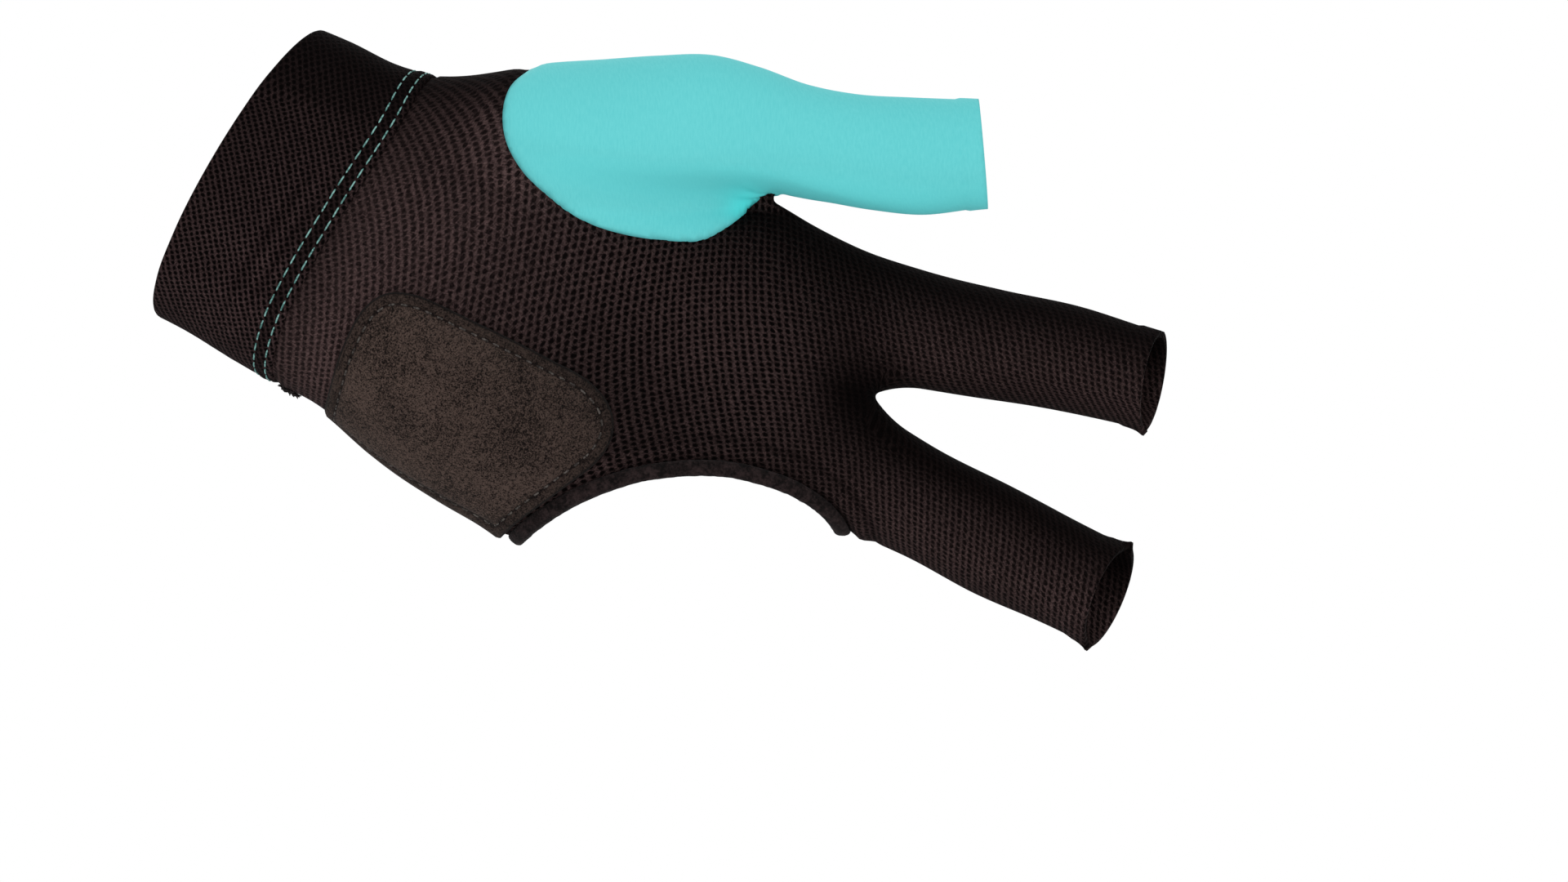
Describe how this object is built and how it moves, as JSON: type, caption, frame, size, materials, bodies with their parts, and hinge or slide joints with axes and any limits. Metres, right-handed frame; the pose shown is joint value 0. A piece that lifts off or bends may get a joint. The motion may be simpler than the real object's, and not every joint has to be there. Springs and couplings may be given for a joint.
{
  "type": "billiard glove",
  "caption": "Left-hand billiard glove of stretch mesh with a smooth thumb sleeve, open fingertips, a palm heel pad and a bound opening for the ring and little fingers.",
  "frame": {"origin": "the middle of the wrist opening, where the wrist goes in", "axes": "+X along the hand from the wrist to the fingertips, the palm faces -Y, the back of the hand faces +Y, the thumb is on the +Z side"},
  "size_m": [0.201, 0.0477, 0.1136],
  "materials": {
    "panel_mesh": "matte knitted mesh",
    "cuff_mesh": "matte fine mesh, two layers",
    "thumb_stretch": "smooth stretch cloth",
    "patch_suede": "napped suede",
    "binding_tape": "fuzzy rolled tape"
  },
  "bodies": {
    "root": {"palm_panel": "panel_mesh", "back_panel": "panel_mesh", "wrist_cuff": "cuff_mesh", "thumb_sleeve": "thumb_stretch", "palm_patch": "patch_suede", "opening_binding": "binding_tape"}
  },
  "joints": []
}
